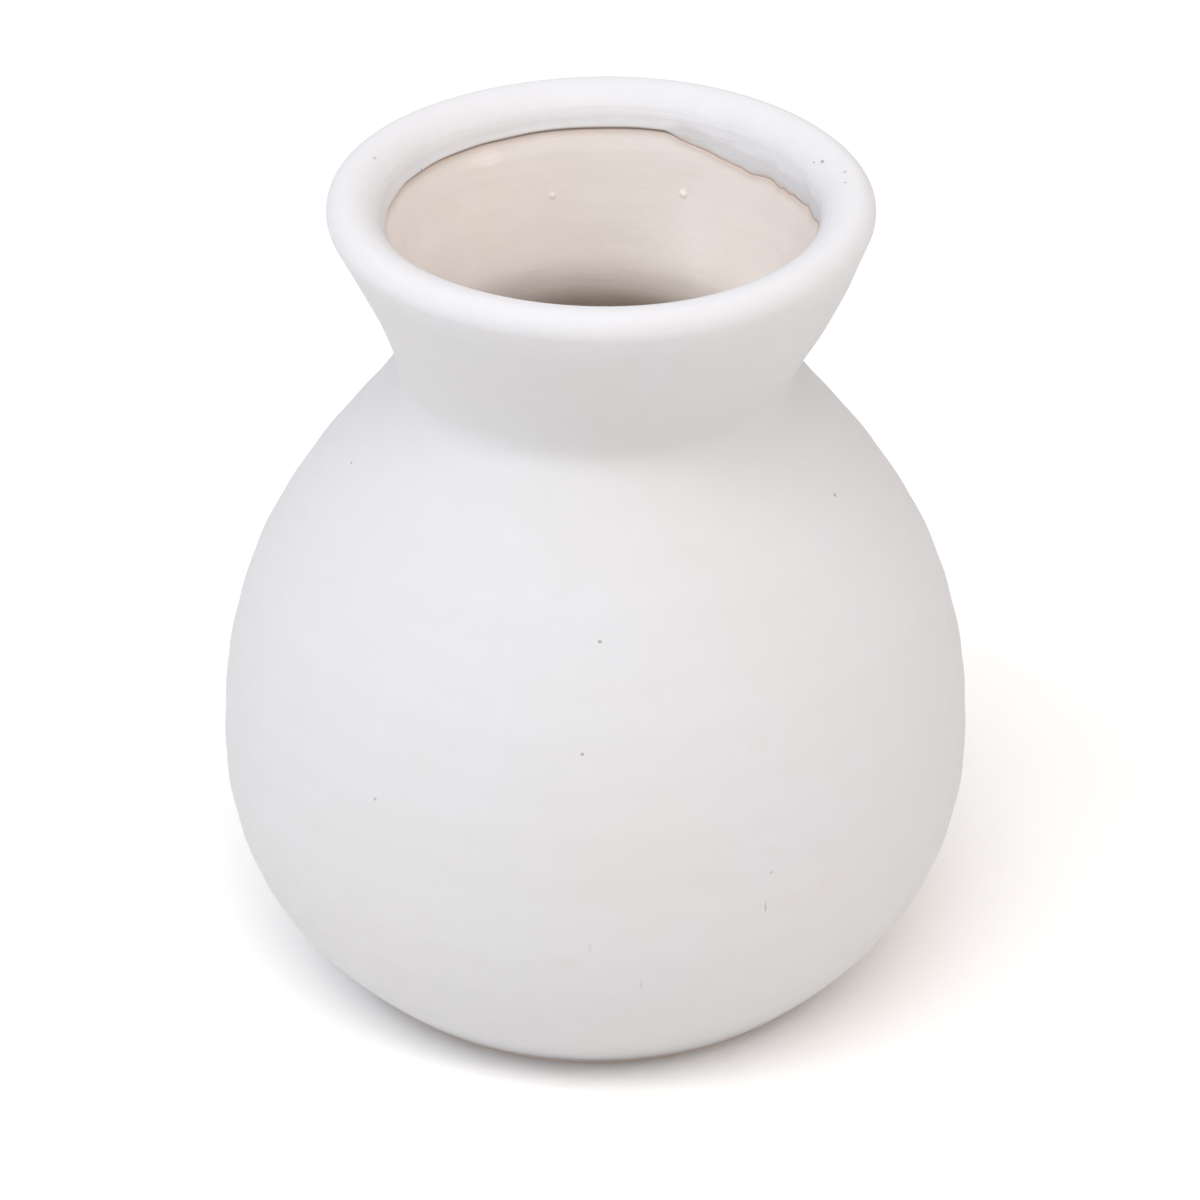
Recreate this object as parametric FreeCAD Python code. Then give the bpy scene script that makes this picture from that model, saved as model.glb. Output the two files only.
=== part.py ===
"""Small collared vase: a thrown clay body with a flared clay collar luted onto its shoulder,
a matte white coat outside and over the lip, and a thin clear glaze lining the inside.

Millimetres, +Z up. The origin is the centre of the flat foot, and Z is the axis of every piece.
Sections are drawn in the XZ plane, as radius and height, and turned about Z.
"""

import FreeCAD, Part
import math
import os

# Finished outside, measured over the white coat
height = 121.0
foot_radius = 37.8
belly_radius = 54.0
belly_height = 34.0
crease_radius = 27.3
crease_height = 94.0

# Lip: a circle of crest_radius runs along its highest line; the roll is tight outside, broad inside
crest_radius = 35.3
outer_roll = 2.5
inner_roll = 5.4

# Directions of the outside at the foot and at the crease, in degrees above horizontal
foot_flare = 42.0
shoulder_slope = 55.0

# How far a curve holds the direction of each of its ends, as a share of the curve's height
foot_hold = 0.48
low_belly_hold = 0.37
high_belly_hold = 0.51
shoulder_hold = 0.34
floor_hold = 0.62
bowl_hold = 0.50

# Clay
wall = 4.4
floor = 6.0
floor_radius = 19.0
throat_round = 9.0

# Skins fired onto the clay: the coat ends coat_drop below the crest inside the lip
coat = 0.6
liner = 0.25
coat_drop = 5.4

# Short upright edge of the foot, left bare and flush with the coat above it
bare_edge = 0.45


def at(radius, z):
    return FreeCAD.Vector(radius, 0, z)


def heading(angle):
    return at(math.cos(angle), math.sin(angle))


def angle_of(direction):
    return math.atan2(direction.z, direction.x)


def right_of(direction):
    """The normal on the right-hand side, which is the outer side of a run that climbs."""
    return at(direction.z, -direction.x)


def line(start, end):
    return Part.LineSegment(start, end).toShape()


def arc(centre, radius, first, last):
    """Arc between two angles in radians."""
    places = [centre + heading(angle) * radius for angle in (first, (first + last) / 2, last)]
    return Part.Arc(*places).toShape()


def curve(start, leaving, arriving, end):
    """Cubic curve; the lengths of leaving and arriving say how long it holds those directions."""
    bezier = Part.BezierCurve()
    bezier.setPoles([start, start + leaving, end - arriving, end])
    return bezier.toShape()


def tangent_direction(start, centre, radius, side):
    """Direction from start that grazes a circle, with the circle's centre on the right if side is 1."""
    across = centre - start
    return heading(angle_of(across) + side * math.asin(radius / across.Length))


def foot_of_centre(start, direction, centre):
    """The point of the line from start along direction that is nearest to centre."""
    return start + direction * (centre - start).dot(direction)


up = at(0, 1)
low_rise = belly_height - bare_edge
high_rise = crease_height - belly_height
outer_centre = at(crest_radius, height - outer_roll)
inner_centre = at(crest_radius, height - inner_roll)
foot_direction = heading(math.radians(foot_flare))
shoulder_direction = heading(math.pi - math.radians(shoulder_slope))
neck_direction = tangent_direction(at(crease_radius, crease_height), outer_centre, outer_roll, -1)


def crease_at(depth):
    """The corner between shoulder and neck, both of them moved into the clay by depth."""
    shoulder_normal = right_of(shoulder_direction)
    neck_normal = right_of(neck_direction)
    step = (shoulder_normal + neck_normal) / (1 + shoulder_normal.dot(neck_normal))
    return at(crease_radius, crease_height) - step * depth


def outside(depth):
    """Edges from the middle of the underside to the crest of the lip, depth below the coat."""
    foot = at(foot_radius, bare_edge) - right_of(foot_direction) * depth
    belly = at(belly_radius - depth, belly_height)
    crease = crease_at(depth)
    roll = outer_roll - depth
    climb = tangent_direction(crease, outer_centre, roll, -1)
    edges = [line(at(0, 0), at(foot.x, 0)), line(at(foot.x, 0), foot)]
    low_hold = up * low_belly_hold * low_rise
    edges.append(curve(foot, foot_direction * foot_hold * low_rise, low_hold, belly))
    high_hold = up * high_belly_hold * high_rise
    edges.append(curve(belly, high_hold, shoulder_direction * shoulder_hold * high_rise, crease))
    edges.append(line(crease, foot_of_centre(crease, climb, outer_centre)))
    edges.append(arc(outer_centre, roll, angle_of(right_of(climb)), math.pi / 2))
    return edges


def inside(growth):
    """Edges from the crest of the lip to the middle of the floor, growth proud of the clay."""
    roll = inner_roll - coat + growth
    corner = crease_at(coat + wall + growth)
    climb = tangent_direction(corner, inner_centre, roll, 1)
    radius = throat_round + growth
    cut_back = radius * math.tan((angle_of(shoulder_direction) - angle_of(climb)) / 2)
    neck_end = corner + climb * cut_back
    bowl_end = corner - shoulder_direction * cut_back
    throat_centre = neck_end + right_of(climb) * radius
    quarter = math.pi / 2
    belly = at(belly_radius - coat - wall - growth, belly_height)
    floor_edge = at(floor_radius, floor + growth)
    floor_rise = belly.z - floor_edge.z
    high_hold = up * high_belly_hold * high_rise
    return [
        arc(inner_centre, roll, quarter, angle_of(climb) + quarter),
        line(foot_of_centre(corner, climb, inner_centre), neck_end),
        arc(throat_centre, radius, angle_of(climb) + quarter, angle_of(shoulder_direction) + quarter),
        curve(bowl_end, shoulder_direction * -shoulder_hold * high_rise, high_hold * -1, belly),
        curve(belly, up * -bowl_hold * floor_rise, at(-floor_hold * floor_rise, 0), floor_edge),
        line(floor_edge, at(0, floor_edge.z)),
    ]


def turned(edges):
    """The solid that a closed section sweeps about Z."""
    return Part.Face(Part.Wire(edges)).revolve(FreeCAD.Vector(), FreeCAD.Vector(0, 0, 1), 360)


def vase(depth):
    """The whole vase with its hollow, every surface depth below the coat."""
    section = outside(depth) + inside(coat - depth)
    return turned(section + [line(at(0, floor + coat - depth), at(0, 0))])


def hollow(growth):
    """The space inside, up to the level of the crest."""
    crest = at(crest_radius, height - coat + growth)
    lid = [line(at(0, floor + growth), at(0, crest.z)), line(at(0, crest.z), crest)]
    return turned(inside(growth) + lid)


def below(level):
    """A block that holds everything under a level."""
    reach = 3 * belly_radius
    return Part.makeBox(reach, reach, height + level, FreeCAD.Vector(-reach / 2, -reach / 2, -height))


def clay():
    """All the clay, whose foot stands out flush with the coat that ends on it."""
    bare_foot = Part.makeCylinder(foot_radius, bare_edge)
    return vase(coat).fuse(bare_foot).removeSplitter()


def lined_hollow():
    """The hollow as far up as the lining reaches, to where the coat ends inside the lip."""
    return hollow(0).common(below(height - coat_drop))


def clay_body():
    return clay().common(below(crease_at(coat).z))


def clay_collar():
    return clay().cut(below(crease_at(coat).z))


def white_coat():
    return vase(0).cut(clay()).cut(lined_hollow())


def liner_glaze():
    return lined_hollow().cut(hollow(liner))


pieces = {
    "clay_body": clay_body(),
    "clay_collar": clay_collar(),
    "white_coat": white_coat(),
    "liner_glaze": liner_glaze(),
}

os.makedirs("parts", exist_ok=True)
for name, piece in pieces.items():
    piece = piece.Solids[0] if len(piece.Solids) == 1 else piece
    piece.exportStep("parts/" + name + ".step")
    print(name, len(piece.Solids), piece.isValid(), round(piece.Volume, 1), piece.BoundBox)
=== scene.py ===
"""Looks of a small collared ceramic vase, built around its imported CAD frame.

Outlines are drawn in millimetres as radius and height, made a little uneven as a hand makes them,
and turned into meshes in metres. Angles are measured about Z from +X; the front of the vase is -Y.
A run is a distance along the clay's line, from the top of the bare foot edge over the lip and down
inside to the middle of the floor.
"""

import math

import bpy
import numpy as np
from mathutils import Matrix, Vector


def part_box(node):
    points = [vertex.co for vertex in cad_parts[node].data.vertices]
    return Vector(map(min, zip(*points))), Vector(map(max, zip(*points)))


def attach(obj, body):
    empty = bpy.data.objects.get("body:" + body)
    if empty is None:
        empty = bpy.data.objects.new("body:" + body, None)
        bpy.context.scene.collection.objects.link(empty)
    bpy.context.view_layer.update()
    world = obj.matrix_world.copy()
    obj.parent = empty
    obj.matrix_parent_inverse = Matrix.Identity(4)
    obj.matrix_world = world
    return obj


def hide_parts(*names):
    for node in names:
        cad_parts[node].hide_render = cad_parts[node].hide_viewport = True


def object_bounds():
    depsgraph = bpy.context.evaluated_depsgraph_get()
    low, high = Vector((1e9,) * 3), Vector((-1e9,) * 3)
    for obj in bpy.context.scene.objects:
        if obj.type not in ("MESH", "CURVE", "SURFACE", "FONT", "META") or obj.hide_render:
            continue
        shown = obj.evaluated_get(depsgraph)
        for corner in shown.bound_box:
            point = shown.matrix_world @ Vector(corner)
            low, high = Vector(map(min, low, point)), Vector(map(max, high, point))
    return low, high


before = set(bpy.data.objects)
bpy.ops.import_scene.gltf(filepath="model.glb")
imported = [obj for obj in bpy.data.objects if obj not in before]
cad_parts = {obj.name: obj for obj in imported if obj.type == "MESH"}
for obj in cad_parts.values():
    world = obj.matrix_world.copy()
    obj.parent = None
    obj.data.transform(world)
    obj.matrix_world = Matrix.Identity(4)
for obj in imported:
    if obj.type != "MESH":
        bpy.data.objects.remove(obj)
cad_box = [list(corner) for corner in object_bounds()]

MM = 0.001


# ---------------------------------------------------------------- sizes, in mm

def box_mm(node):
    """Lowest and highest corner of a CAD node, in mm."""
    return [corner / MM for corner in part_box(node)]


height = cad_box[1][2] / MM
belly_radius = cad_box[1][0] / MM
bare_edge = box_mm("white_coat")[0].z
coat = belly_radius - box_mm("clay_body")[1].x
joint_height = box_mm("clay_collar")[0].z
floor_height = box_mm("liner_glaze")[0].z
coat_end = box_mm("liner_glaze")[1].z
clay_inner_radius = box_mm("liner_glaze")[1].x
wall = belly_radius - coat - clay_inner_radius

# The shape between those sizes, as the CAD draws it
belly_height = 34.0
foot_radius = 37.8
crease_radius = 27.3
crease_height = 94.0
crest_radius = 35.3
outer_roll = 2.5
inner_roll = 5.4
foot_flare = math.radians(42)
shoulder_slope = math.radians(55)
foot_hold = 0.48
low_belly_hold = 0.37
high_belly_hold = 0.51
shoulder_hold = 0.34
floor_radius = 19.0
floor_hold = 0.62
bowl_hold = 0.50
throat_round = 9.0
liner = 0.25

# What the meshes add to it
crease_fillet = 1.8     # radius of the clay in the crease
crease_spread = 2.4     # how far the crease is smoothed over where it is softest
foot_round = 0.35       # radius of the bottom edge
underside_dish = 0.45   # rise of the underside's middle
pole_gap = 0.8          # how near the rings of a closed floor come to the axis


# ---------------------------------------------------------------- outlines

def way(angle):
    """The unit direction at an angle above horizontal."""
    return np.array([math.cos(angle), math.sin(angle)])


def angle_of(direction):
    return math.atan2(direction[1], direction[0])


def right_of(direction):
    """The normal on the right, which is the outer side of a line that climbs."""
    return np.array([direction[1], -direction[0]])


def cubic(start, leaving, arriving, end, count=400):
    """Points of a cubic curve; the lengths of leaving and arriving say how long it holds them."""
    t = np.linspace(0, 1, count)[:, None]
    poles = [np.array(start, float), start + leaving, end - arriving, np.array(end, float)]
    return ((1 - t) ** 3 * poles[0] + 3 * (1 - t) ** 2 * t * poles[1]
            + 3 * (1 - t) * t ** 2 * poles[2] + t ** 3 * poles[3])


def arc(centre, radius, first, last, count=40):
    angles = np.linspace(first, last, count)[:, None]
    return centre + radius * np.hstack([np.cos(angles), np.sin(angles)])


def tangent(start, centre, radius, side):
    """Direction from start that grazes a circle, and the point where it does."""
    across = centre - start
    direction = way(angle_of(across) + side * math.asin(radius / np.hypot(*across)))
    return direction, start + direction * (across @ direction)


class Line:
    """A line of points in mm that is read by the distance run along it."""

    def __init__(self, points):
        self.points = points[np.r_[True, np.hypot(*np.diff(points, axis=0).T) > 1e-6]]
        self.run = np.r_[0, np.cumsum(np.hypot(*np.diff(self.points, axis=0).T))]
        self.length = self.run[-1]

    def at(self, run):
        return np.stack([np.interp(run, self.run, self.points[:, k]) for k in (0, 1)], axis=-1)

    def normal(self, run, reach=0.05):
        """The unit normal on the right of the line."""
        ahead = self.at(np.minimum(run + reach, self.length)) - self.at(np.maximum(run - reach, 0))
        ahead /= np.hypot(ahead[..., 0], ahead[..., 1])[..., None]
        return np.stack([ahead[..., 1], -ahead[..., 0]], axis=-1)


def stations(start, *stops):
    """Distances from start to the last stop. Each stop comes with the step up to it."""
    found = [start]
    for end, step in stops:
        count = max(1, round(abs(end - found[-1]) / step))
        found += list(np.linspace(found[-1], end, count + 1)[1:])
    return np.array(found)


up = np.array([0.0, 1.0])
low_rise = belly_height - bare_edge
high_rise = crease_height - belly_height
crease = np.array([crease_radius, crease_height])
outer_centre = np.array([crest_radius, height - outer_roll])
inner_centre = np.array([crest_radius, height - inner_roll])
foot_way = way(foot_flare)
shoulder_way = way(math.pi - shoulder_slope)
neck_way = tangent(crease, outer_centre, outer_roll, -1)[0]


def crease_at(depth):
    """The corner between shoulder and neck, both of them moved into the clay by depth."""
    shoulder_normal = right_of(shoulder_way)
    neck_normal = right_of(neck_way)
    return crease - (shoulder_normal + neck_normal) * depth / (1 + shoulder_normal @ neck_normal)


def clay_outside():
    """The clay's outer line from the top of the bare foot edge to the crest of the lip."""
    foot = np.array([foot_radius, bare_edge]) - right_of(foot_way) * coat
    belly = np.array([belly_radius - coat, belly_height])
    corner = crease_at(coat)
    climb, touch = tangent(corner, outer_centre, outer_roll - coat, -1)
    cut_back = crease_fillet * math.tan((angle_of(shoulder_way) - angle_of(climb)) / 2)
    shoulder_end = corner - shoulder_way * cut_back
    neck_start = corner + climb * cut_back
    fillet_centre = neck_start + right_of(climb) * crease_fillet
    quarter = math.pi / 2
    return np.vstack([
        cubic(foot, foot_way * foot_hold * low_rise, up * low_belly_hold * low_rise, belly),
        cubic(belly, up * high_belly_hold * high_rise, shoulder_way * shoulder_hold * high_rise,
              shoulder_end)[1:],
        arc(fillet_centre, crease_fillet, angle_of(shoulder_way) + quarter, angle_of(climb) + quarter,
            12)[1:],
        [touch],
        arc(outer_centre, outer_roll - coat, angle_of(climb) - quarter, quarter)[1:],
    ])


def clay_inside():
    """The clay's inner line from the crest of the lip to the middle of the floor."""
    corner = crease_at(coat + wall)
    roll = inner_roll - coat
    climb = tangent(corner, inner_centre, roll, 1)[0]
    cut_back = throat_round * math.tan((angle_of(shoulder_way) - angle_of(climb)) / 2)
    neck_end = corner + climb * cut_back
    bowl_end = corner - shoulder_way * cut_back
    throat_centre = neck_end + right_of(climb) * throat_round
    quarter = math.pi / 2
    belly = np.array([clay_inner_radius, belly_height])
    floor_edge = np.array([floor_radius, floor_height])
    floor_rise = belly_height - floor_height
    return np.vstack([
        arc(inner_centre, roll, quarter, angle_of(climb) + quarter),
        arc(throat_centre, throat_round, angle_of(climb) + quarter, angle_of(shoulder_way) + quarter),
        cubic(bowl_end, -shoulder_way * shoulder_hold * high_rise, -up * high_belly_hold * high_rise,
              belly)[1:],
        cubic(belly, -up * bowl_hold * floor_rise, np.array([-floor_hold * floor_rise, 0]),
              floor_edge)[1:],
        [[0, floor_height]],
    ])


outside = Line(clay_outside())
inside = Line(clay_inside())
surface = Line(np.vstack([outside.points, inside.points[1:]]))


def run_outside(level):
    """The run at which the outside reaches a height."""
    return float(np.interp(level, outside.points[:, 1], outside.run))


def run_inside(level):
    """The run at which the inside comes down to a height."""
    return outside.length + float(np.interp(-level, -inside.points[:, 1], inside.run))


crest_run = outside.length
joint_out = run_outside(joint_height)
joint_in = run_inside(joint_height)
end_in = run_inside(coat_end)
whole = surface.length


# ---------------------------------------------------------------- the hand's unevenness

AROUND = 384  # points in a ring round the vase
turn = np.arange(AROUND) * 2 * math.pi / AROUND
ring = turn[None, :]

# Lobes round the vase: size in mm, how many, and where they start
BODY_LOBES = ((0.12, 2, -0.7), (0.05, 3, 0.4))
COLLAR_LOBES = ((0.14, 2, 0.9), (0.08, 3, -1.1), (0.05, 5, 0.3))
LIP_LOBES = ((0.16, 1, 0.35), (0.10, 2, -1.9), (0.06, 4, 1.0))
INSET = 0.2       # keeps the uneven belly inside the CAD's radius
LIP_INSET = 0.22  # and the uneven lip under its height


def lobed(angle, lobes):
    return sum(size * np.cos(count * angle + start) for size, count, start in lobes)


def wave(angle, counts, seed):
    """Smooth periodic noise of about unit size, made of whole numbers of waves round the vase."""
    chooser = np.random.default_rng(seed)
    total = np.zeros_like(np.asarray(angle, float))
    for count in counts:
        total += chooser.normal() * np.cos(count * angle + chooser.uniform(0, 2 * math.pi))
    return total / math.sqrt(len(counts) / 2)


def ease(x, low, high):
    """0 up to low, 1 from high on, with a smooth step between."""
    t = np.clip((np.asarray(x, float) - low) / (high - low), 0, 1)
    return t * t * (3 - 2 * t)


def collar_offset(level):
    """How far the collar stands to the right of the body's axis, where it was set down off it."""
    return 1.25 * ease(level, 91.5, 106) - 0.55 * ease(level, 108, 121)


def throwing_rings(level, angle):
    """The faint ridges that fingers leave, running slightly aslant."""
    fine = 0.05 * np.sin(level * 0.93 + 0.6 * np.sin(angle))
    broad = 0.04 * np.sin(level * 0.41 + 1.3)
    return (fine + broad) * ease(level, 6, 22)


def shaped(radius, level, angle):
    """Points in mm for arrays of radius, height and angle, uneven as a thrown pot is."""
    on_collar = ease(level, 88, 104)
    swelling = 0.14 * np.exp(-((level - 110) / 7) ** 2)
    uneven = throwing_rings(level, angle) * (1 - 0.6 * on_collar)
    uneven += lobed(angle, BODY_LOBES) * ease(level, 2, 14) * (1 - on_collar)
    uneven += lobed(angle, COLLAR_LOBES) * on_collar + swelling - INSET
    away_from_axis = np.clip(radius / 25, 0, 1)
    r = radius + uneven * away_from_axis * ease(level, 0, 6)
    z = level + (lobed(angle, LIP_LOBES) - LIP_INSET) * ease(level, 100, 119)
    x = r * np.cos(angle) + collar_offset(level)
    return np.stack([x, r * np.sin(angle), z], axis=-1)


def smoothed_crease(run, angle):
    """Points and normals of the clay's line. The crease is smoothed over, most at the front."""
    point = surface.at(run)
    normal = surface.normal(run)
    at_front = 0.2 + 0.8 * ease(-np.sin(angle), 0.05, 0.6)
    share = (at_front * (1 - ease(np.abs(run - joint_out), 5, 9)))[..., None]
    steps = np.linspace(-2, 2, 9)
    weights = np.exp(-steps ** 2 / 2)
    weights /= weights.sum()
    places = [np.clip(run + step * crease_spread, 0, whole) for step in steps]
    wide_point = sum(weight * surface.at(place) for weight, place in zip(weights, places))
    wide_normal = sum(weight * surface.normal(place) for weight, place in zip(weights, places))
    point = point + (wide_point - point) * share
    normal = normal + (wide_normal - normal) * share
    return point, normal / np.linalg.norm(normal, axis=-1, keepdims=True)


def clay_point(run, angle, lift=0.0):
    """Shaped points of the clay's surface at a run, lifted off it by lift mm."""
    point, normal = smoothed_crease(run, angle)
    in_bowl = ease(run, joint_in - 4, joint_in + 12) * ease(whole - run, 1, 9)
    spiral = 0.16 * np.sin(run * 2 * math.pi / 6.1 + angle) * in_bowl
    flat = point + normal * (spiral + lift)[..., None]
    return shaped(flat[..., 0], flat[..., 1], np.broadcast_to(angle, flat[..., 0].shape))


# ---------------------------------------------------------------- meshes

def skin(name, rings, closed=True, start_pole=None, end_pole=None, attributes=None):
    """A mesh object in metres from rings of points in mm, each ring round the vase once.

    A closed skin joins its last ring to its first, and a pole closes an end with triangles.
    """
    rings = np.asarray(rings)
    count, around = rings.shape[:2]
    points = rings.reshape(-1, 3)
    corner = np.arange(count * around).reshape(count, around)
    following = np.roll(corner, -1, axis=1)
    faces = []
    for i in range(count if closed else count - 1):
        above = (i + 1) % count
        faces += np.stack([corner[i], following[i], following[above], corner[above]], axis=1).tolist()
    poles = []
    for pole, row in ((start_pole, 0), (end_pole, count - 1)):
        if pole is None:
            continue
        tip = count * around + len(poles)
        poles.append(pole)
        for a, b in zip(corner[row].tolist(), following[row].tolist()):
            faces.append([tip, b, a] if row == 0 else [tip, a, b])
    if poles:
        points = np.vstack([points, poles])
    mesh = bpy.data.meshes.new(name)
    mesh.from_pydata((points * MM).tolist(), [], faces)
    mesh.update()
    for key, values in (attributes or {}).items():
        values = np.concatenate([np.asarray(values, float).ravel(), np.zeros(len(poles))])
        mesh.attributes.new(key, "FLOAT", "POINT").data.foreach_set("value", values.astype(np.float32))
    mesh.polygons.foreach_set("use_smooth", np.ones(len(mesh.polygons), bool))
    obj = bpy.data.objects.new(name, mesh)
    bpy.context.scene.collection.objects.link(obj)
    return obj


def all_round(runs):
    """The same runs at every angle, as a grid of rings."""
    return runs[:, None] * np.ones_like(ring)


def between(first, last, share):
    """A grid of runs between two edges, which may each vary round the vase."""
    return first * (1 - share[:, None]) + last * share[:, None]


# ---------------------------------------------------------------- the coat's edges

# Where the white coat ends inside the mouth, as degrees and mm below its even line: a clean step on
# the left and at the back, and lower and ragged on the right, where the brush ran past the line
EDGE_DROP = ((-180, 0.0), (-120, 0.1), (-60, 0.0), (-20, 0.3), (0, 0.9), (15, 1.5), (32, 2.1),
             (48, 2.3), (60, 1.7), (67, 0.9), (72, 0.0), (180, 0.0))
CLEAN_FADE = 0.35   # how far the coat thins before a clean edge
RAGGED_FADE = 2.3   # and how much further before a ragged one

facing = (turn + math.pi) % (2 * math.pi) - math.pi
ragged = ease(facing, -0.5, 0.1) * (1 - ease(facing, 1.16, 1.26))
edge_azimuths, edge_drops = zip(*EDGE_DROP)
drop = np.interp(facing, np.radians(edge_azimuths), edge_drops)
drop += ragged * (0.10 * wave(turn, range(14, 34), 3) + 0.035 * wave(turn, range(40, 80), 4))
drop += (1 - ragged) * 0.05 * wave(turn, range(8, 24), 5)
edge_run = (end_in + drop / math.sin(angle_of(neck_way)))[None, :]
fade = (CLEAN_FADE + ragged * (RAGGED_FADE + 0.3 * wave(turn, range(16, 50), 6)))[None, :]
# Where the coat starts above the bare foot edge
start_run = (0.34 + 0.05 * wave(turn, range(3, 30), 7))[None, :]


def coat_thickness(run):
    """Thickness in mm: full over the outside and lip, falling to nothing at the edge inside."""
    share = np.clip((edge_run - run) / fade, 0, 1)
    clean_fall = np.sqrt(1 - (1 - share) ** 2)
    ragged_fall = share ** 0.8
    fall = clean_fall * (1 - ragged) + ragged_fall * ragged
    rise = 0.55 + 0.45 * ease(run - start_run, 0, 0.5)
    past_crest = ease(run, crest_run - 1, crest_run + 3)
    streaks = 0.012 * np.sin(run * 5.2 + 1.4 * np.sin(2 * ring + 0.5)) * past_crest
    return np.clip((coat + streaks) * fall * rise, 0.01, coat + 0.05)


# ---------------------------------------------------------------- the pieces

def coat_skin():
    """The white coat, with what its material reads: where it is thin, where the painted shade line runs
    at its edge, or where painted light lightens it in the mouth.
    """
    outer = stations(0, (1.2, 0.2), (joint_out - 5, 1.15), (joint_out + 4, 0.4),
                     (crest_run - 7, 0.9), (crest_run, 0.4)) / crest_run
    inner = stations(0, (0.5, 0.05), (0.9, 0.04), (1, 0.01))[1:]
    runs = np.vstack([between(start_run, crest_run, outer), between(crest_run, edge_run, inner)])
    back_runs = between(start_run, edge_run, np.linspace(1, 0, 46))
    lift = coat_thickness(runs)
    thin = (1 - np.clip(lift / coat, 0, 1)) * ease(runs, crest_run, crest_run + 2)
    # Where the brown painted shade line runs along the coat's edge
    edge = 1 - ease(edge_run - runs, 0.0, 0.55)
    # Where painted light lightens the coat inside the mouth
    mouth = ease(runs, crest_run + 2, crest_run + 6)
    nowhere = np.zeros(back_runs.shape)
    rings = np.vstack([clay_point(runs, ring, lift), clay_point(back_runs, ring)])
    return skin("matte_white_coat", rings,
                attributes={"thin": np.vstack([thin, nowhere]),
                            "edge": np.vstack([edge, nowhere + 1]),
                            "mouth": np.vstack([mouth, nowhere])})


def liner_skin():
    """The clear glaze from the coat's edge down over the floor, thin where it starts."""
    steps = stations(0, (0.8, 0.1), (2.5, 0.35), (whole - end_in, 1.05))
    runs = between(edge_run, whole - pole_gap, steps / steps[-1])
    back_runs = between(edge_run, whole - pole_gap, np.linspace(1, 0, 96))
    glaze = liner * (0.5 + 0.5 * ease(runs - edge_run, 0, 4))
    # Where the brown painted shade line runs along the glaze's top edge
    edge = 1 - ease(runs - edge_run, 0.1, 1.3)
    rings = np.vstack([clay_point(back_runs, ring), clay_point(runs, ring, glaze)])
    return skin("clear_glaze_lining", rings,
                closed=False, start_pole=[0, 0, floor_height], end_pole=[0, 0, floor_height + liner],
                attributes={"edge": np.vstack([np.zeros(back_runs.shape), edge])})


def flat_rings(radii, levels):
    """Shaped rings from grids of radius and height."""
    grid = np.ones_like(ring)
    return shaped(radii * grid, levels * grid, np.broadcast_to(ring, (len(radii), AROUND)))


def underside():
    """Rings of the foot: dished in the middle, with a spiral of tool marks, and a rounded edge."""
    radii = np.linspace(pole_gap, foot_radius - 2.7, 60)[:, None]
    dish = underside_dish * (1 - ease(radii, 24, 33))
    tool_marks = 0.045 * (1 + np.sin(radii * 2 * math.pi / 2.7 + ring)) * (1 - ease(radii, 27, 33))
    edge = arc(np.array([foot_radius - foot_round, foot_round]), foot_round, -math.pi / 2, 0, 8)
    return np.vstack([flat_rings(radii, dish + tool_marks), flat_rings(edge[:, :1], edge[:, 1:])])


def body_skin():
    flank = all_round(stations(0, (joint_out, 1.6)))
    bowl = all_round(stations(joint_in, (whole - pole_gap, 1.3)))
    return skin("thrown_clay_body",
                np.vstack([underside(), clay_point(flank, ring), clay_point(bowl, ring)]),
                closed=False, start_pole=[0, 0, underside_dish], end_pole=[0, 0, floor_height])


def collar_skin():
    section = all_round(stations(joint_out, (crest_run, 1.0), (joint_in, 1.0)))
    return skin("clay_collar_ring", clay_point(section, ring))


# ---------------------------------------------------------------- nodes

class Nodes:
    """A node tree. Inputs given as sockets are linked, and others are set."""

    def __init__(self, tree):
        self.tree = tree
        tree.nodes.clear()

    def put(self, socket, value):
        if isinstance(value, bpy.types.NodeSocket):
            self.tree.links.new(value, socket)
        else:
            socket.default_value = value

    def node(self, kind, inputs=None, **settings):
        made = self.tree.nodes.new(kind)
        for key, value in settings.items():
            setattr(made, key, value)
        for key, value in (inputs or {}).items():
            self.put(made.inputs[key], value)
        return made

    def ramp(self, value, low, high, to_low=0.0, to_high=1.0, smooth=True):
        inputs = {"Value": value, "From Min": low, "From Max": high, "To Min": to_low, "To Max": to_high}
        interpolation = "SMOOTHSTEP" if smooth else "LINEAR"
        return self.node("ShaderNodeMapRange", inputs, interpolation_type=interpolation).outputs[0]

    def math(self, operation, first, second=0.0):
        return self.node("ShaderNodeMath", {0: first, 1: second}, operation=operation).outputs[0]

    def vector(self, operation, first, second=(0.0, 0.0, 0.0), scale=1.0):
        inputs = {0: first, "Scale": scale} if operation == "SCALE" else {0: first, 1: second}
        return self.node("ShaderNodeVectorMath", inputs, operation=operation).outputs["Vector"]

    def blend(self, share, first, second, kind="MIX"):
        """A mix of two colours, given as sockets or as red, green and blue."""
        made = self.node("ShaderNodeMix", data_type="RGBA", blend_type=kind)
        self.put(made.inputs["Factor"], share)
        colours = [socket for socket in made.inputs if socket.type == "RGBA"]
        for socket, value in zip(colours, (first, second)):
            self.put(socket, value if isinstance(value, bpy.types.NodeSocket) else (*value, 1))
        return [socket for socket in made.outputs if socket.type == "RGBA"][0]


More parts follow.
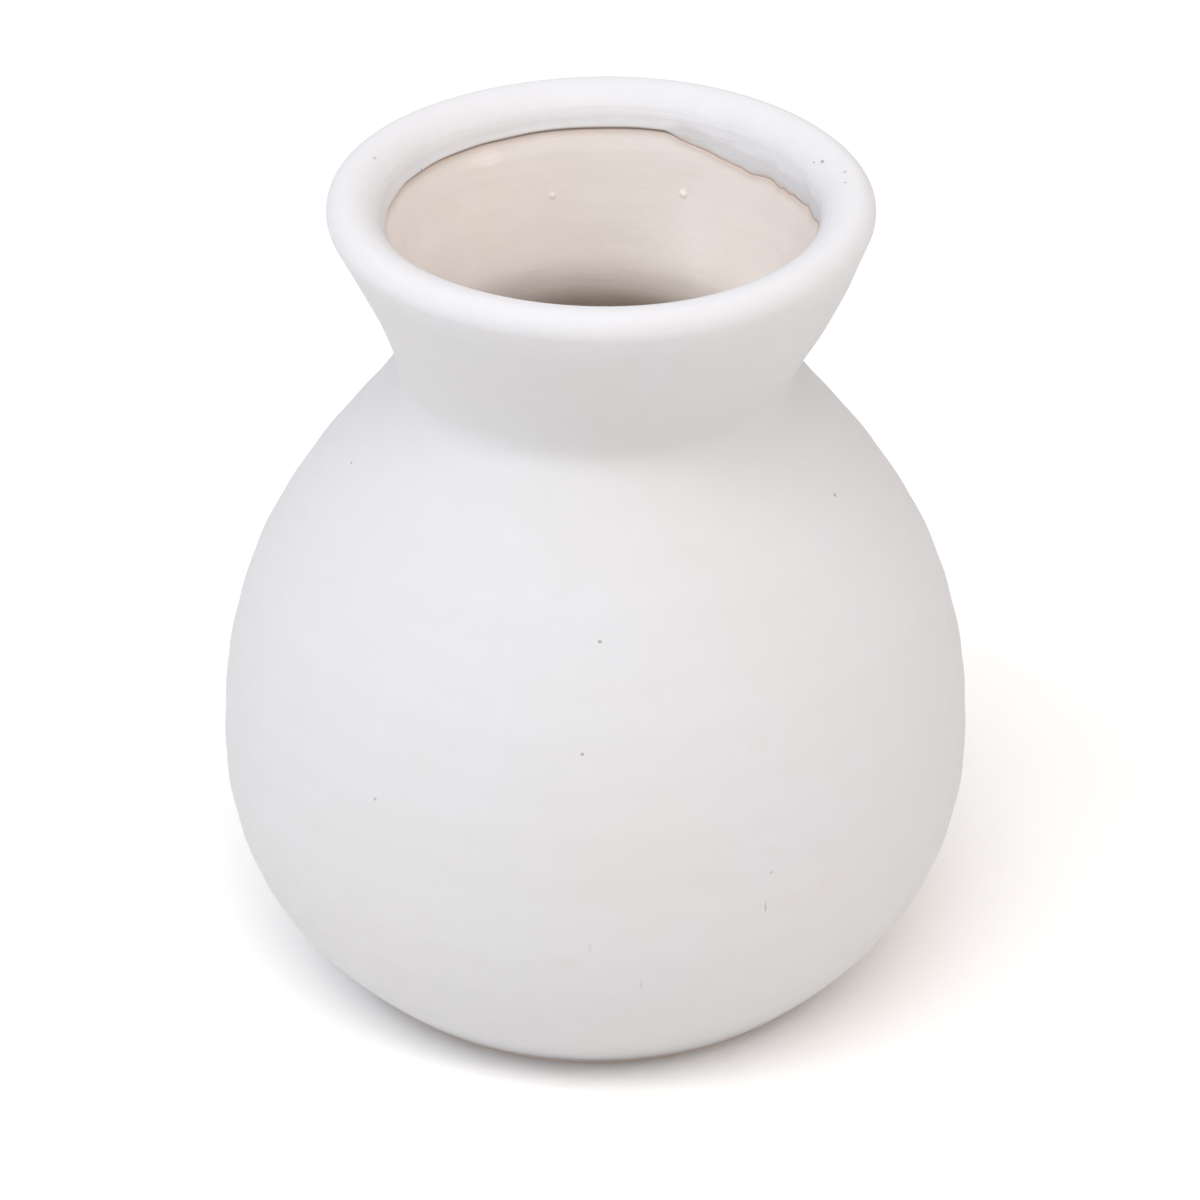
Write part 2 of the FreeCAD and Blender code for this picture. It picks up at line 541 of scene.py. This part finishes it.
class Material(Nodes):
    """A material whose textures are placed in mm."""

    def __init__(self, name):
        self.material = bpy.data.materials.new(name)
        self.material.use_nodes = True
        super().__init__(self.material.node_tree)
        place = self.node("ShaderNodeTexCoord").outputs["Object"]
        self.mm = self.vector("SCALE", place, scale=1 / MM)

    def texture(self, output, where, scale, detail=2.0, roughness=0.5, distortion=0.0):
        return self.node("ShaderNodeTexNoise", {"Vector": where, "Scale": scale, "Detail": detail,
                                                "Roughness": roughness,
                                                "Distortion": distortion}).outputs[output]

    def noise(self, scale, detail=2.0, roughness=0.5):
        return self.texture("Fac", self.mm, scale, detail, roughness)

    def banded(self, scale, detail=3.0, roughness=0.6, distortion=0.0):
        """Noise drawn out round the vase, from a scale for each axis."""
        drawn_out = self.vector("MULTIPLY", self.mm, scale)
        return self.texture("Fac", drawn_out, 1.0, detail, roughness, distortion)

    def level(self):
        """Height above the ground, in mm."""
        return self.node("ShaderNodeSeparateXYZ", {0: self.mm}).outputs["Z"]

    def painted(self, name):
        """What the mesh says about a place."""
        return self.node("ShaderNodeAttribute", attribute_name=name).outputs["Fac"]

    def spot(self, where, centre, size, soft=0.6):
        """1 inside an ellipsoid at centre, in mm, and 0 outside."""
        away = self.vector("DIVIDE", self.vector("SUBTRACT", where, centre), size)
        reach = self.node("ShaderNodeVectorMath", {0: away}, operation="LENGTH").outputs["Value"]
        return self.ramp(reach, 1 - soft, 1 + soft, 1, 0)

    def bumped(self, heights):
        """A normal bumped by (height socket, depth in mm) pairs."""
        normal = None
        for value, depth in heights:
            inputs = {"Height": value, "Strength": 1.0, "Distance": depth * MM}
            if normal:
                inputs["Normal"] = normal
            normal = self.node("ShaderNodeBump", inputs).outputs[0]
        return normal

    def finish(self, inputs):
        shader = self.node("ShaderNodeBsdfPrincipled", inputs)
        self.node("ShaderNodeOutputMaterial", {"Surface": shader.outputs[0]})
        return self.material


# ---------------------------------------------------------------- marks

DARK = (0.20, 0.18, 0.16)
SOFT_GREY = (0.50, 0.49, 0.48)
TAN = (0.62, 0.53, 0.45)

# On the outside: azimuth in degrees, height, size across and along in mm, strength, colour
MARKS_OUTSIDE = (
    # fine dark specks
    (-164, 82.9, 0.22, 0.22, 0.75, DARK), (-25, 81.0, 0.25, 0.2, 0.8, DARK),
    (-89, 73.7, 0.2, 0.2, 0.8, DARK), (-92, 60.4, 0.22, 0.18, 0.7, DARK),
    (-125, 49.2, 0.24, 0.2, 0.55, DARK), (-8, 55.5, 0.3, 0.3, 0.6, SOFT_GREY),
    (-63, 40.2, 0.2, 0.2, 0.5, DARK), (40, 66.0, 0.22, 0.22, 0.7, DARK),
    (120, 48.0, 0.25, 0.2, 0.7, DARK), (165, 71.0, 0.2, 0.2, 0.6, DARK),
    (75, 25.0, 0.22, 0.3, 0.6, DARK),
    # hairlines in the coat
    (-83, 24.8, 0.14, 2.7, 0.8, SOFT_GREY), (-64, 34.9, 0.13, 0.9, 0.5, DARK),
    (-64.9, 35.5, 0.1, 0.7, 0.4, SOFT_GREY), (-90.7, 31.9, 0.12, 1.0, 0.45, SOFT_GREY),
    (102, 30.0, 0.13, 1.6, 0.5, SOFT_GREY), (28, 40.0, 0.13, 1.1, 0.5, SOFT_GREY),
    # faint tan smudges
    (-95, 28.9, 1.5, 1.2, 0.16, TAN), (-93.2, 29.6, 0.9, 0.8, 0.12, TAN),
    (-63, 58.6, 1.6, 1.4, 0.10, TAN), (-53, 35.1, 2.6, 2.0, 0.14, TAN),
    (-63, 43.4, 1.8, 1.2, 0.12, TAN), (-60, 34.2, 2.2, 1.4, 0.12, TAN),
    (60, 30.0, 2.6, 1.6, 0.14, TAN), (140, 36.0, 1.8, 1.4, 0.12, TAN),
)
# Pits inside the lip: azimuth, height, size, strength
PITS = ((160.8, 120.0, 0.25, 0.6), (147.5, 115.9, 0.25, 0.6), (17.8, 119.7, 0.28, 0.7),
        (9.0, 120.3, 0.3, 0.45), (4.0, 120.2, 0.25, 0.4), (20.0, 119.2, 0.2, 0.5))
# Small bumps in the glaze, each with a painted glint, a white spot at its middle: azimuth, height, size
BUMPS_WITH_PAINTED_GLINTS = ((106.1, 106.9, 0.3), (64.8, 107.7, 0.36))


def on_coat(run, azimuth):
    """The point of the coat's surface at a run and an azimuth in degrees."""
    return clay_point(np.array([run]), np.array([math.radians(azimuth)]), np.array([coat]))[0]


def coat_marks():
    """Each mark as centre, size, strength and colour."""
    for azimuth, level, across, along, strength, tint in MARKS_OUTSIDE:
        yield on_coat(run_outside(level), azimuth), (across, across, along), strength, tint
    for azimuth, level, size, strength in PITS:
        yield on_coat(run_inside(level), azimuth), (size, size, size), strength, DARK


# ---------------------------------------------------------------- materials

WHITE_COOL = (0.615, 0.617, 0.627)
WHITE_WARM = (0.615, 0.612, 0.608)
WHITE_DULL = (0.598, 0.594, 0.588)
# Painted light: lighter whites for the top of the lip and for the coat inside the mouth
LIP_PAINTED_LIGHT = (0.665, 0.665, 0.675)
MOUTH_PAINTED_LIGHT = (0.735, 0.735, 0.74)
THIN_EDGE = (0.66, 0.61, 0.57)
# Painted shade: brown for the shadow line along the coat's edge inside the mouth
COAT_EDGE_PAINTED_SHADE = (0.50, 0.39, 0.32)
BEIGE_LIGHT = (0.74, 0.687, 0.645)
BEIGE_DEEP = (0.71, 0.652, 0.60)
BEIGE_SPECK = (0.775, 0.735, 0.695)
BROWN_BOWL = (0.81, 0.67, 0.56)
# Painted shade: brown for the shadow line along the glaze's top edge, under the coat's step
LINER_EDGE_PAINTED_SHADE = (0.60, 0.49, 0.42)
# Painted glint: white for the glints on the small glaze bumps
PAINTED_GLINT_WHITE = (0.95, 0.94, 0.93)
CLAY_LIGHT = (0.84, 0.74, 0.66)
CLAY_DEEP = (0.77, 0.66, 0.58)
CLAY_SPECK = (0.58, 0.47, 0.39)


def white_coat():
    """Matte white, brushed inside the lip and warmer where it is thin, with painted light on the top of
    the lip and inside the mouth, and a brown painted shade line along its edge.
    """
    m = Material("white_coat")
    broad = m.noise(0.035)
    mottle = m.noise(0.22, 4, 0.6)
    fine = m.noise(1.9, 3, 0.6)
    grain = m.noise(4.5, 2, 0.7)
    brushed = m.banded((0.10, 0.10, 2.6), 4, 0.65, 0.3)
    colour = m.blend(m.ramp(broad, 0.35, 0.65), WHITE_COOL, WHITE_WARM)
    level = m.level()
    # Painted light: the top of the lip is painted lighter, where the light falls most
    colour = m.blend(m.ramp(level, 112, 119, 0, 0.85), colour, LIP_PAINTED_LIGHT)
    # Painted light: the coat inside the mouth is painted lighter than its own white
    colour = m.blend(m.math("MULTIPLY", m.painted("mouth"), 0.6), colour, MOUTH_PAINTED_LIGHT)
    colour = m.blend(m.ramp(mottle, 0.30, 0.75, 0, 0.22), colour, WHITE_DULL)
    colour = m.blend(m.ramp(fine, 0.55, 0.8, 0, 0.10), colour, WHITE_DULL)
    wander = m.vector("SUBTRACT", m.texture("Color", m.mm, 1.6), (0.5, 0.5, 0.5))
    where = m.vector("ADD", m.mm, m.vector("SCALE", wander, scale=0.5))
    for centre, size, strength, tint in coat_marks():
        mask = m.math("MULTIPLY", m.spot(where, centre, size), strength)
        colour = m.blend(mask, colour, tint)
    worn = m.painted("thin")
    patchy = m.math("ADD", worn, m.ramp(brushed, 0.3, 0.7, -0.28, 0.28))
    bare = m.math("MULTIPLY", m.ramp(patchy, 0.55, 0.95), m.ramp(worn, 0.15, 0.4))
    colour = m.blend(bare, colour, THIN_EDGE)
    # Painted shade: a brown line painted along the coat's edge, where the step's shadow falls
    colour = m.blend(m.math("MULTIPLY", m.painted("edge"), 0.8), colour, COAT_EDGE_PAINTED_SHADE)
    strokes = m.math("MULTIPLY", brushed, m.ramp(level, 100, 117))
    normal = m.bumped([(strokes, 0.035), (mottle, 0.05), (fine, 0.02), (grain, 0.012)])
    return m.finish({"Base Color": colour, "Roughness": m.ramp(mottle, 0.3, 0.7, 0.66, 0.80),
                     "Normal": normal, "Specular IOR Level": 0.35})


def liner_glaze():
    """Clear glaze over beige clay, browner down in the bowl, with a brown painted shade line along its
    edge and painted glints on two small bumps.
    """
    m = Material("liner_glaze")
    broad = m.noise(0.05)
    mottle = m.noise(0.35, 4, 0.6)
    specks = m.noise(2.2, 3, 0.6)
    bands = m.banded((0.06, 0.06, 0.7))
    colour = m.blend(m.ramp(broad, 0.35, 0.65), BEIGE_LIGHT, BEIGE_DEEP)
    colour = m.blend(m.ramp(bands, 0.35, 0.75, 0, 0.25), colour, BEIGE_DEEP)
    colour = m.blend(m.ramp(specks, 0.62, 0.8, 0, 0.22), colour, BEIGE_SPECK)
    colour = m.blend(m.ramp(m.level(), 76, 98, 0.8, 0), colour, BROWN_BOWL)
    # Painted shade: a brown line painted along the glaze's top edge, under the coat's step
    colour = m.blend(m.math("MULTIPLY", m.painted("edge"), 0.75), colour, LINER_EDGE_PAINTED_SHADE)
    bump = [(broad, 0.5), (mottle, 0.05), (bands, 0.05)]
    for azimuth, level, radius in BUMPS_WITH_PAINTED_GLINTS:
        centre = on_coat(run_inside(level), azimuth)
        bump.append((m.spot(m.mm, centre, (radius * 1.3,) * 3, 1.0), 0.2))
        # Painted glint: a white spot painted at the middle of the bump
        colour = m.blend(m.spot(m.mm, centre, (radius,) * 3), colour, PAINTED_GLINT_WHITE)
    normal = m.bumped(bump)
    return m.finish({"Base Color": colour, "Roughness": m.ramp(mottle, 0.3, 0.7, 0.30, 0.42),
                     "Normal": normal, "Coat Weight": 0.8, "Coat Roughness": 0.12, "Coat Normal": normal})


def fired_clay():
    """Bare sandy clay with turning marks."""
    m = Material("fired_clay")
    broad = m.noise(0.12, 3)
    sand = m.noise(2.4, 4, 0.7)
    grit = m.noise(6.0, 2, 0.6)
    turned = m.banded((0.08, 0.08, 3.0))
    colour = m.blend(m.ramp(broad, 0.3, 0.7), CLAY_LIGHT, CLAY_DEEP)
    colour = m.blend(m.ramp(sand, 0.5, 0.75, 0, 0.35), colour, CLAY_SPECK)
    normal = m.bumped([(turned, 0.06), (sand, 0.05), (grit, 0.03)])
    return m.finish({"Base Color": colour, "Roughness": m.ramp(sand, 0.3, 0.7, 0.82, 0.95),
                     "Normal": normal, "Specular IOR Level": 0.3})


finishes = {"white_coat": white_coat(), "liner_glaze": liner_glaze(), "fired_clay": fired_clay()}
for piece, node, slot in (
    (coat_skin(), "white_coat", "white_coat"),
    (liner_skin(), "liner_glaze", "liner_glaze"),
    (body_skin(), "clay_body", "fired_clay"),
    (collar_skin(), "clay_collar", "fired_clay"),
):
    piece.data.materials.append(finishes[slot])
    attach(piece, "root")
    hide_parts(node)
    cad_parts[node].data.materials.clear()
    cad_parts[node].data.materials.append(finishes[slot])


# ---------------------------------------------------------------- floor

FLOOR_REACH = 4.0  # metres from the middle to each side
FLOOR_LIGHT = (0.955, 0.946, 0.925)
FLOOR_DEEP = (0.95, 0.94, 0.918)


def studio_floor():
    mesh = bpy.data.meshes.new("studio_floor")
    corners = [(x * FLOOR_REACH, y * FLOOR_REACH, 0) for x, y in ((-1, -1), (1, -1), (1, 1), (-1, 1))]
    mesh.from_pydata(corners, [], [(0, 1, 2, 3)])
    paper = Material("pale_floor")
    colour = paper.blend(paper.noise(0.01), FLOOR_DEEP, FLOOR_LIGHT)
    look = {"Base Color": colour, "Roughness": 0.9, "Specular IOR Level": 0.1}
    mesh.materials.append(paper.finish(look))
    floor = bpy.data.objects.new("studio_floor", mesh)
    bpy.context.scene.collection.objects.link(floor)
    return floor


studio_floor()


# ---------------------------------------------------------------- light

HORIZON = 0.27   # strength of the dome at the horizon
ZENITH = 0.91    # and overhead
LEFT_TINT = (0.965, 0.975, 1.05)
RIGHT_TINT = (1.04, 0.985, 0.95)
LOW_TINT = (1.05, 0.995, 0.93)


def studio_dome():
    """A soft dome, bright overhead, cooler on the left than on the right and warmer low down."""
    world = bpy.data.worlds.new("studio")
    world.use_nodes = True
    sky = Nodes(world.node_tree)
    direction = sky.node("ShaderNodeTexCoord").outputs["Generated"]
    split = sky.node("ShaderNodeSeparateXYZ", {0: direction})
    strength = sky.ramp(split.outputs["Z"], 0, 1, HORIZON, ZENITH, smooth=False)
    sideways = sky.ramp(split.outputs["X"], -1, 1, smooth=False)
    rise = sky.ramp(split.outputs["Z"], 0, 0.35, smooth=False)
    tint = sky.blend(1.0, sky.blend(sideways, LEFT_TINT, RIGHT_TINT),
                     sky.blend(rise, LOW_TINT, (1, 1, 1)), kind="MULTIPLY")
    background = sky.node("ShaderNodeBackground", {"Color": tint, "Strength": strength})
    sky.node("ShaderNodeOutputWorld", {"Surface": background.outputs[0]})
    bpy.context.scene.world = world


def lamp(name, place, width, depth, power, colour):
    """A rectangular soft light in metres and watts, aimed at the middle of the vase."""
    data = bpy.data.lights.new(name, "AREA")
    data.shape = "RECTANGLE"
    data.size = width
    data.size_y = depth
    data.energy = power
    data.color = colour
    obj = bpy.data.objects.new(name, data)
    bpy.context.scene.collection.objects.link(obj)
    obj.location = place
    obj.rotation_euler = (Vector((0, 0, 0.06)) - Vector(place)).to_track_quat("-Z", "Y").to_euler()


studio_dome()
lamp("key", (-0.17, -0.70, 1.44), 1.8, 0.42, 14.6, (1.0, 0.995, 0.99))
lamp("left_side", (-1.30, -0.25, 0.95), 1.2, 0.8, 5.7, (0.945, 0.98, 1.11))
lamp("right_side", (1.30, -0.25, 0.95), 1.2, 0.8, 4.3, (1.08, 0.985, 0.96))


# ---------------------------------------------------------------- camera

camera_data = bpy.data.cameras.new("camera")
camera_data.lens = 146.5
camera_data.sensor_width = 36
camera = bpy.data.objects.new("camera", camera_data)
camera.location = (0.0007, -0.5971, 0.4255)
look_down = 31.84  # degrees below level
camera.rotation_euler = (math.radians(90 - look_down), 0, 0)
bpy.context.scene.collection.objects.link(camera)
bpy.context.scene.camera = camera
bpy.context.scene.view_settings.view_transform = "Standard"
